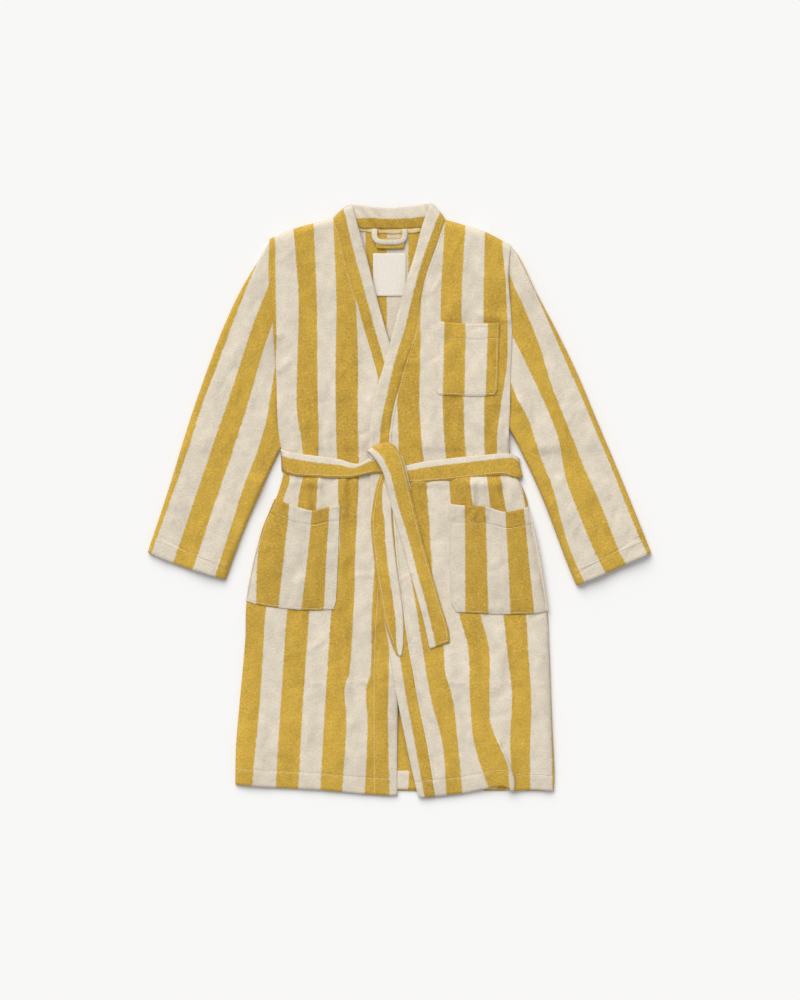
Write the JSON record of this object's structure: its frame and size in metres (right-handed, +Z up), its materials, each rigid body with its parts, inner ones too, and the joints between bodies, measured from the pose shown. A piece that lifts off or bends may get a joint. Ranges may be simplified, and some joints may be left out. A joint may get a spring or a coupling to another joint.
{
  "type": "bathrobe",
  "caption": "Striped terry wrap bathrobe lying on its back, with wide sleeves, a tied belt, patch pockets and a neck loop.",
  "frame": {"origin": "middle of the robe's footprint, on the surface that it lies on", "axes": "+X to the wearer's left, +Y towards the neck, +Z up out of the front"},
  "size_m": [0.904, 1.07, 0.0311],
  "materials": {
    "body_terry": "matte",
    "sleeve_terry": "matte",
    "pocket_terry": "matte",
    "band_terry": "matte",
    "belt_terry": "matte",
    "neck_trim": "matte",
    "label_tape": "matte",
    "sewing_thread": "matte"
  },
  "bodies": {
    "robe": {"back_panel": "body_terry", "band_stitching_left": "sewing_thread", "band_stitching_right": "sewing_thread", "belt_back": "belt_terry", "belt_knot": "belt_terry", "belt_left_strap": "belt_terry", "belt_left_turn": "belt_terry", "belt_right_strap": "belt_terry", "belt_right_turn": "belt_terry", "belt_stitching": "sewing_thread", "chest_pocket": "pocket_terry", "front_left_panel": "body_terry", "front_right_panel": "body_terry", "hanger_loop_left_stay": "neck_trim", "hanger_loop_right_stay": "neck_trim", "hem_stitching_left": "sewing_thread", "hem_stitching_right": "sewing_thread", "hip_pocket_left": "pocket_terry", "hip_pocket_right": "pocket_terry", "neck_band_back": "band_terry", "neck_band_left": "band_terry", "neck_band_right": "band_terry", "neck_label": "label_tape", "neck_tape": "neck_trim", "pocket_stitching_chest": "sewing_thread", "pocket_stitching_left": "sewing_thread", "pocket_stitching_right": "sewing_thread", "shoulder_seam_left": "body_terry", "shoulder_seam_right": "body_terry", "side_seam_left": "body_terry", "side_seam_right": "body_terry"},
    "sleeve_right": {"cuff_stitching_right": "sewing_thread", "sleeve_right_back": "sleeve_terry", "sleeve_right_front": "sleeve_terry", "sleeve_right_top_fold": "sleeve_terry", "sleeve_right_underarm_seam": "sleeve_terry"},
    "sleeve_left": {"cuff_stitching_left": "sewing_thread", "sleeve_left_back": "sleeve_terry", "sleeve_left_front": "sleeve_terry", "sleeve_left_top_fold": "sleeve_terry", "sleeve_left_underarm_seam": "sleeve_terry"},
    "front_right_corner": {"front_right_corner": "body_terry", "hem_stitching_right_corner": "sewing_thread"},
    "front_left_corner": {"front_left_corner": "body_terry", "hem_stitching_left_corner": "sewing_thread"},
    "belt_long_tail": {"belt_long_tail": "belt_terry", "long_tail_stitching": "sewing_thread"},
    "belt_short_tail": {"belt_short_tail": "belt_terry", "short_tail_stitching": "sewing_thread"},
    "hanger_loop": {"hanger_loop": "neck_trim"}
  },
  "joints": [
    {"name": "right_sleeve_fold", "type": "hinge", "parent": "robe", "child": "sleeve_right", "pos_m": [-0.212, 0.102, 0.018], "axis": [-0.0573, 0.9984, 0], "range_deg": [0, 120]},
    {"name": "left_sleeve_fold", "type": "hinge", "parent": "robe", "child": "sleeve_left", "pos_m": [0.198, 0.118, 0.018], "axis": [-0.0058, -1, 0], "range_deg": [0, 120]},
    {"name": "right_corner_turn_back", "type": "hinge", "parent": "robe", "child": "front_right_corner", "pos_m": [-0.004, -0.365, 0.0115], "axis": [-0.688, -0.7257, 0], "range_deg": [0, 150]},
    {"name": "left_corner_turn_back", "type": "hinge", "parent": "robe", "child": "front_left_corner", "pos_m": [0.165, -0.522, 0.0143], "axis": [-0.7286, 0.685, 0], "range_deg": [0, 150]},
    {"name": "long_tail_lift", "type": "hinge", "parent": "robe", "child": "belt_long_tail", "pos_m": [-0.003, 0.022, 0.01485], "axis": [-1, 0, 0], "range_deg": [0, 90]},
    {"name": "short_tail_lift", "type": "hinge", "parent": "robe", "child": "belt_short_tail", "pos_m": [-0.03, 0.022, 0.01485], "axis": [-1, 0, 0], "range_deg": [0, 90]},
    {"name": "hanger_loop_flip", "type": "hinge", "parent": "robe", "child": "hanger_loop", "pos_m": [-0.017, 0.483, 0.008], "axis": [-1, 0, 0], "range_deg": [0, 150]}
  ]
}
